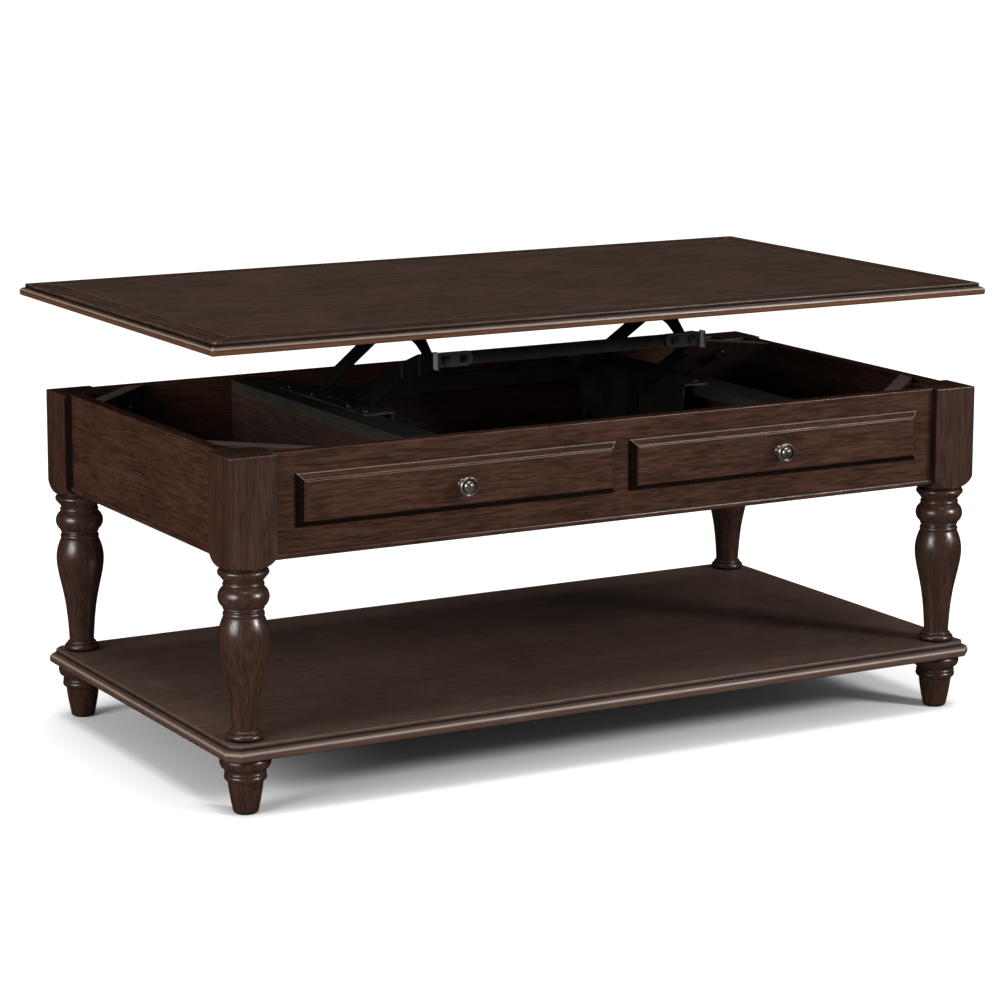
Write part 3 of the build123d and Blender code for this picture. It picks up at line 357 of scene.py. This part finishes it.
# For each start of a node's name: dark and light grain colour, and what sets its wood apart
FINISHES = (
    ("top_border", TOP_DEEP, TOP_WARM, {"contrast": 0.9, "nose": TOP_NOSE, "edge_highlight": 0.8}),
    ("top_panel", TOP_DEEP, TOP_WARM, {"gloss": 0.36, "contrast": 0.8}),
    ("shelf", SHELF_DEEP, SHELF_WARM, {"gloss": 0.36, "contrast": 0.8, "edge_highlight": 0.8, "nose": SHELF_NOSE}),
    ("drawer_front", DEEP, WARM, {"shaded_sides": True, "edge_highlight": 0.9}),
    ("corner_brace", BRACE_DEEP, BRACE_WARM, {"gloss": 0.5, "wear": 0.3, "glaze_and_shade": 0.5,
                                              "top_face": BRACE_TOP}),
    ("lift_rail", RAIL_DEEP, RAIL_WARM, {"gloss": 0.5, "wear": 0.5, "edge_highlight": 0.6, "glaze_and_shade": 0.6,
                                         "top_face": RAIL_SHADED_TOP}),
    ("divider", INNER_DEEP, INNER_WARM, {"gloss": 0.5, "wear": 0.3, "edge_highlight": 0.3}),
    ("compartment_floor", FLOOR_DEEP, FLOOR_WARM, {"gloss": 0.5, "wear": 0.3}),
    ("floor_cleats", INNER_DEEP, INNER_WARM, {"gloss": 0.5, "wear": 0.3}),
    ("leg", LEG_DEEP, LEG_WARM, {"shine": 0.6, "gloss": 0.28, "contrast": 0.75, "shaded_steps": True}),
    ("foot", LEG_DEEP, LEG_WARM, {"shine": 0.6, "gloss": 0.28, "contrast": 0.75}),
    ("apron_left", DEEP, WARM, {"contrast": 0.7}),
    ("apron_right", DEEP, WARM, {"contrast": 0.7}),
    ("", DEEP, WARM, {}),
)


def paint(node, material):
    """Gives every face of a CAD node one material."""
    mesh = NODES[node].data
    mesh.materials.clear()
    mesh.materials.append(material)


def paint_wood():
    seed = 0
    for along, nodes in GRAIN.items():
        for node in nodes:
            seed += 1
            _, deep, warm, options = next(finish for finish in FINISHES if node.startswith(finish[0]))
            paint(node, wood(f"{node}_wood", along, deep, warm, seed, **options))


def paint_metal():
    lift = painted_steel("lift_paint", (0.0100, 0.0100, 0.0085), 0.42, (0.14, 0.135, 0.12))
    arm = painted_steel("arm_paint", (0.0042, 0.0042, 0.0036), 0.46, (0.10, 0.095, 0.085))
    tie = painted_steel("tie_paint", (0.0170, 0.0170, 0.0145), 0.46, (0.10, 0.095, 0.085))
    plate = painted_steel("end_plate_paint", (0.020, 0.020, 0.018), 0.38, (0.30, 0.29, 0.27), lit_ends=True)
    knob = plated_metal("antique_pewter", (0.30, 0.27, 0.235), (0.07, 0.06, 0.05), 0.27, 0.95,
                        scratch_along="Y", metal=0.85)
    zinc = plated_metal("dull_zinc", (0.13, 0.127, 0.118), (0.03, 0.029, 0.027), 0.30, 0.95)
    rivet = plated_metal("dark_rivet", (0.16, 0.155, 0.14), (0.03, 0.029, 0.027), 0.34, 0.9)
    paint("tie_bar", tie)
    paint("crossbar_end_plates", plate)
    for node in ("base_bracket_left", "base_bracket_right"):
        paint(node, lift)
    for node in ("front_arm_left", "front_arm_right", "rear_arm_left", "rear_arm_right", "crossbar",
                 "top_bracket_left", "top_bracket_right"):
        paint(node, arm)
    for node in ("knob_left", "knob_right"):
        paint(node, knob)
    for node in ("brace_bolts", "brace_nuts", "case_screws", "leg_studs", "knob_screws",
                 "top_bracket_screws"):
        paint(node, zinc)
    for node in ("base_pivot_pins", "knee_pins", "spring_lug_pins", "crossbar_bolts", "tie_bar_bolts"):
        paint(node, rivet)


# ---------------------------------------------------------------- springs

FRAME_Y = -11.77
SPRING_X = 259.5
SPRING_START = (-66.0, 452.0)
SPRING_LUG = (48.0, 419.0)
SPRING_EYE_RUN = 19.0
EYE_R = 4.1
HOOK_Y = -84.0
HOOK_TOP = 494.5
COIL_R = 5.1
WIRE_R = 0.9
COIL_PITCH = 1.95
TURN_STEPS = 14
WIRE_SIDES = 8


def spring_line():
    """The wire's centreline in the leg frame's Y and Z with its offset along X, in millimetres: hook over the
    flange, close coils, then the eye round the lug."""
    (y0, z0), (y1, z1) = SPRING_START, SPRING_LUG
    run = math.hypot(y1 - y0, z1 - z0)
    ahead = ((y1 - y0) / run, (z1 - z0) / run)
    across = (-ahead[1], ahead[0])

    def on_axis(distance, out_x, out_up):
        return (out_x, y0 + ahead[0] * distance + across[0] * out_up,
                z0 + ahead[1] * distance + across[1] * out_up)

    # Over the flange, down in front of the bracket and back to the coil's axis
    points = [(-8.0, HOOK_Y, HOOK_TOP), (-3.0, HOOK_Y, HOOK_TOP), (-0.9, HOOK_Y, HOOK_TOP - 0.9),
              (0.0, HOOK_Y, HOOK_TOP - 3.0), (0.0, HOOK_Y, z0 + 8.0), (0.0, HOOK_Y + 1.2, z0 + 5.6),
              (0.0, HOOK_Y + 4.0, z0 + 4.2), on_axis(-3.0, 0.0, 0.0)]
    coil = run - SPRING_EYE_RUN - 2 * WIRE_R
    steps = int(coil / COIL_PITCH * TURN_STEPS)
    for i in range(steps + 1):
        angle = 2 * math.pi * i / TURN_STEPS
        points.append(on_axis(WIRE_R + coil * i / steps, COIL_R * math.sin(angle), COIL_R * math.cos(angle)))
    points.append(on_axis(run - SPRING_EYE_RUN + 2.0, 0.0, 0.0))
    for i in range(TURN_STEPS + 1):
        angle = math.pi + 2 * math.pi * i / TURN_STEPS
        points.append(on_axis(run + EYE_R * math.cos(angle), 0.0, EYE_R * math.sin(angle)))
    return points


def wire_mesh(name, line, radius):
    """A round wire along a line of points."""
    vertices, faces = [], []
    side = Vector((1.0, 0.0, 0.0))
    for i, point in enumerate(line):
        ahead = (line[min(i + 1, len(line) - 1)] - line[max(i - 1, 0)]).normalized()
        side = (side - ahead * side.dot(ahead)).normalized()
        other = ahead.cross(side)
        for k in range(WIRE_SIDES):
            turn = 2 * math.pi * k / WIRE_SIDES
            vertices.append(point + (side * math.cos(turn) + other * math.sin(turn)) * radius)
    for i in range(len(line) - 1):
        for k in range(WIRE_SIDES):
            a, b = i * WIRE_SIDES + k, i * WIRE_SIDES + (k + 1) % WIRE_SIDES
            faces.append((a, b, b + WIRE_SIDES, a + WIRE_SIDES))
    last = (len(line) - 1) * WIRE_SIDES
    faces.append(tuple(reversed(range(WIRE_SIDES))))
    faces.append(tuple(last + k for k in range(WIRE_SIDES)))
    mesh = bpy.data.meshes.new(name)
    mesh.from_pydata(vertices, [], faces)
    for face in mesh.polygons:
        face.use_smooth = True
    return mesh


def make_springs():
    steel = plated_metal("spring_wire", (0.50, 0.48, 0.45), (0.20, 0.19, 0.175), 0.34, 0.6, metal=0.4)
    line = spring_line()
    for side, sign in (("left", -1), ("right", 1)):
        points = [Vector((sign * (SPRING_X + x) * MM, (y + FRAME_Y) * MM, z * MM)) for x, y, z in line]
        mesh = wire_mesh(f"spring_coil_{side}", points, WIRE_R * MM)
        mesh.materials.append(steel)
        coil = bpy.data.objects.new(f"spring_coil_{side}", mesh)
        bpy.context.scene.collection.objects.link(coil)
        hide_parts(f"spring_{side}")
        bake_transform(coil)


# ---------------------------------------------------------------- stage, lights and camera

def soft_light(name, place, aim, width, height, watts):
    light = bpy.data.lights.new(name, "AREA")
    light.shape = "RECTANGLE"
    light.size, light.size_y = width, height
    light.energy = watts
    lamp = bpy.data.objects.new(name, light)
    bpy.context.scene.collection.objects.link(lamp)
    direction = Vector(aim) - Vector(place)
    lamp.matrix_world = Matrix.Translation(place) @ direction.to_track_quat("-Z", "Y").to_matrix().to_4x4()


def sun_light(name, towards, spread, strength):
    """Even light from a wide patch of sky, so that the whole floor is equally pale."""
    light = bpy.data.lights.new(name, "SUN")
    light.energy = strength
    light.angle = math.radians(spread)
    lamp = bpy.data.objects.new(name, light)
    bpy.context.scene.collection.objects.link(lamp)
    lamp.matrix_world = Vector(towards).to_track_quat("Z", "Y").to_matrix().to_4x4()


FLOOR = 30.0
SKY_STRENGTH = 0.5


def make_floor():
    mesh = bpy.data.meshes.new("floor")
    corners = [(-FLOOR, -FLOOR, 0), (FLOOR, -FLOOR, 0), (FLOOR, FLOOR, 0), (-FLOOR, FLOOR, 0)]
    mesh.from_pydata(corners, [], [(0, 1, 2, 3)])
    floor = bpy.data.objects.new("floor", mesh)
    bpy.context.scene.collection.objects.link(floor)
    material, tree, output = new_material("pale_floor")
    shader = add(tree, "ShaderNodeBsdfPrincipled", {"Base Color": (0.86, 0.86, 0.86, 1.0), "Roughness": 0.9,
                                                    "Specular IOR Level": 0.1})
    tree.links.new(shader.outputs[0], output.inputs["Surface"])
    mesh.materials.append(material)
    floor.visible_glossy = False


def make_world():
    world = bpy.data.worlds.new("studio")
    bpy.context.scene.world = world
    world.use_nodes = True
    tree = world.node_tree
    tree.nodes.clear()
    output = tree.nodes.new("ShaderNodeOutputWorld")
    sky = add(tree, "ShaderNodeBackground", {"Color": (1.0, 1.0, 1.0, 1.0), "Strength": SKY_STRENGTH})
    tree.links.new(sky.outputs[0], output.inputs["Surface"])
    world.cycles_visibility.glossy = False


# The camera's place, its turn about Z, its look down and its roll in degrees, and its lens in millimetres
CAMERA_PLACE = (-2.383, -4.1753, 1.292)
CAMERA_TURN, CAMERA_DOWN, CAMERA_ROLL = -29.56, 9.64, 0.126
CAMERA_LENS = 117.13
CAMERA_SHIFT = -0.1


def make_camera():
    camera = bpy.data.cameras.new("camera")
    camera.sensor_width = 36.0
    camera.lens = CAMERA_LENS
    camera.shift_y = CAMERA_SHIFT
    camera.clip_end = 100.0
    rig = bpy.data.objects.new("camera", camera)
    bpy.context.scene.collection.objects.link(rig)
    turn = (Matrix.Rotation(math.radians(CAMERA_TURN), 4, "Z")
            @ Matrix.Rotation(math.radians(90 - CAMERA_DOWN), 4, "X")
            @ Matrix.Rotation(math.radians(CAMERA_ROLL), 4, "Z"))
    rig.matrix_world = Matrix.Translation(CAMERA_PLACE) @ turn
    bpy.context.scene.camera = rig


paint_wood()
paint_metal()
make_springs()
make_floor()
make_world()
sun_light("daylight", (0.0, 0.0, 1.0), 40.0, 2.6)
soft_light("key", (2.9, -3.9, 2.43), (0.0, -0.3, 0.43), 1.0, 1.0, 205)
soft_light("fill", (-4.4, -1.3, 1.75), (0.0, 0.0, 0.42), 2.2, 1.6, 165)
make_camera()
bpy.context.scene.view_settings.view_transform = "Standard"
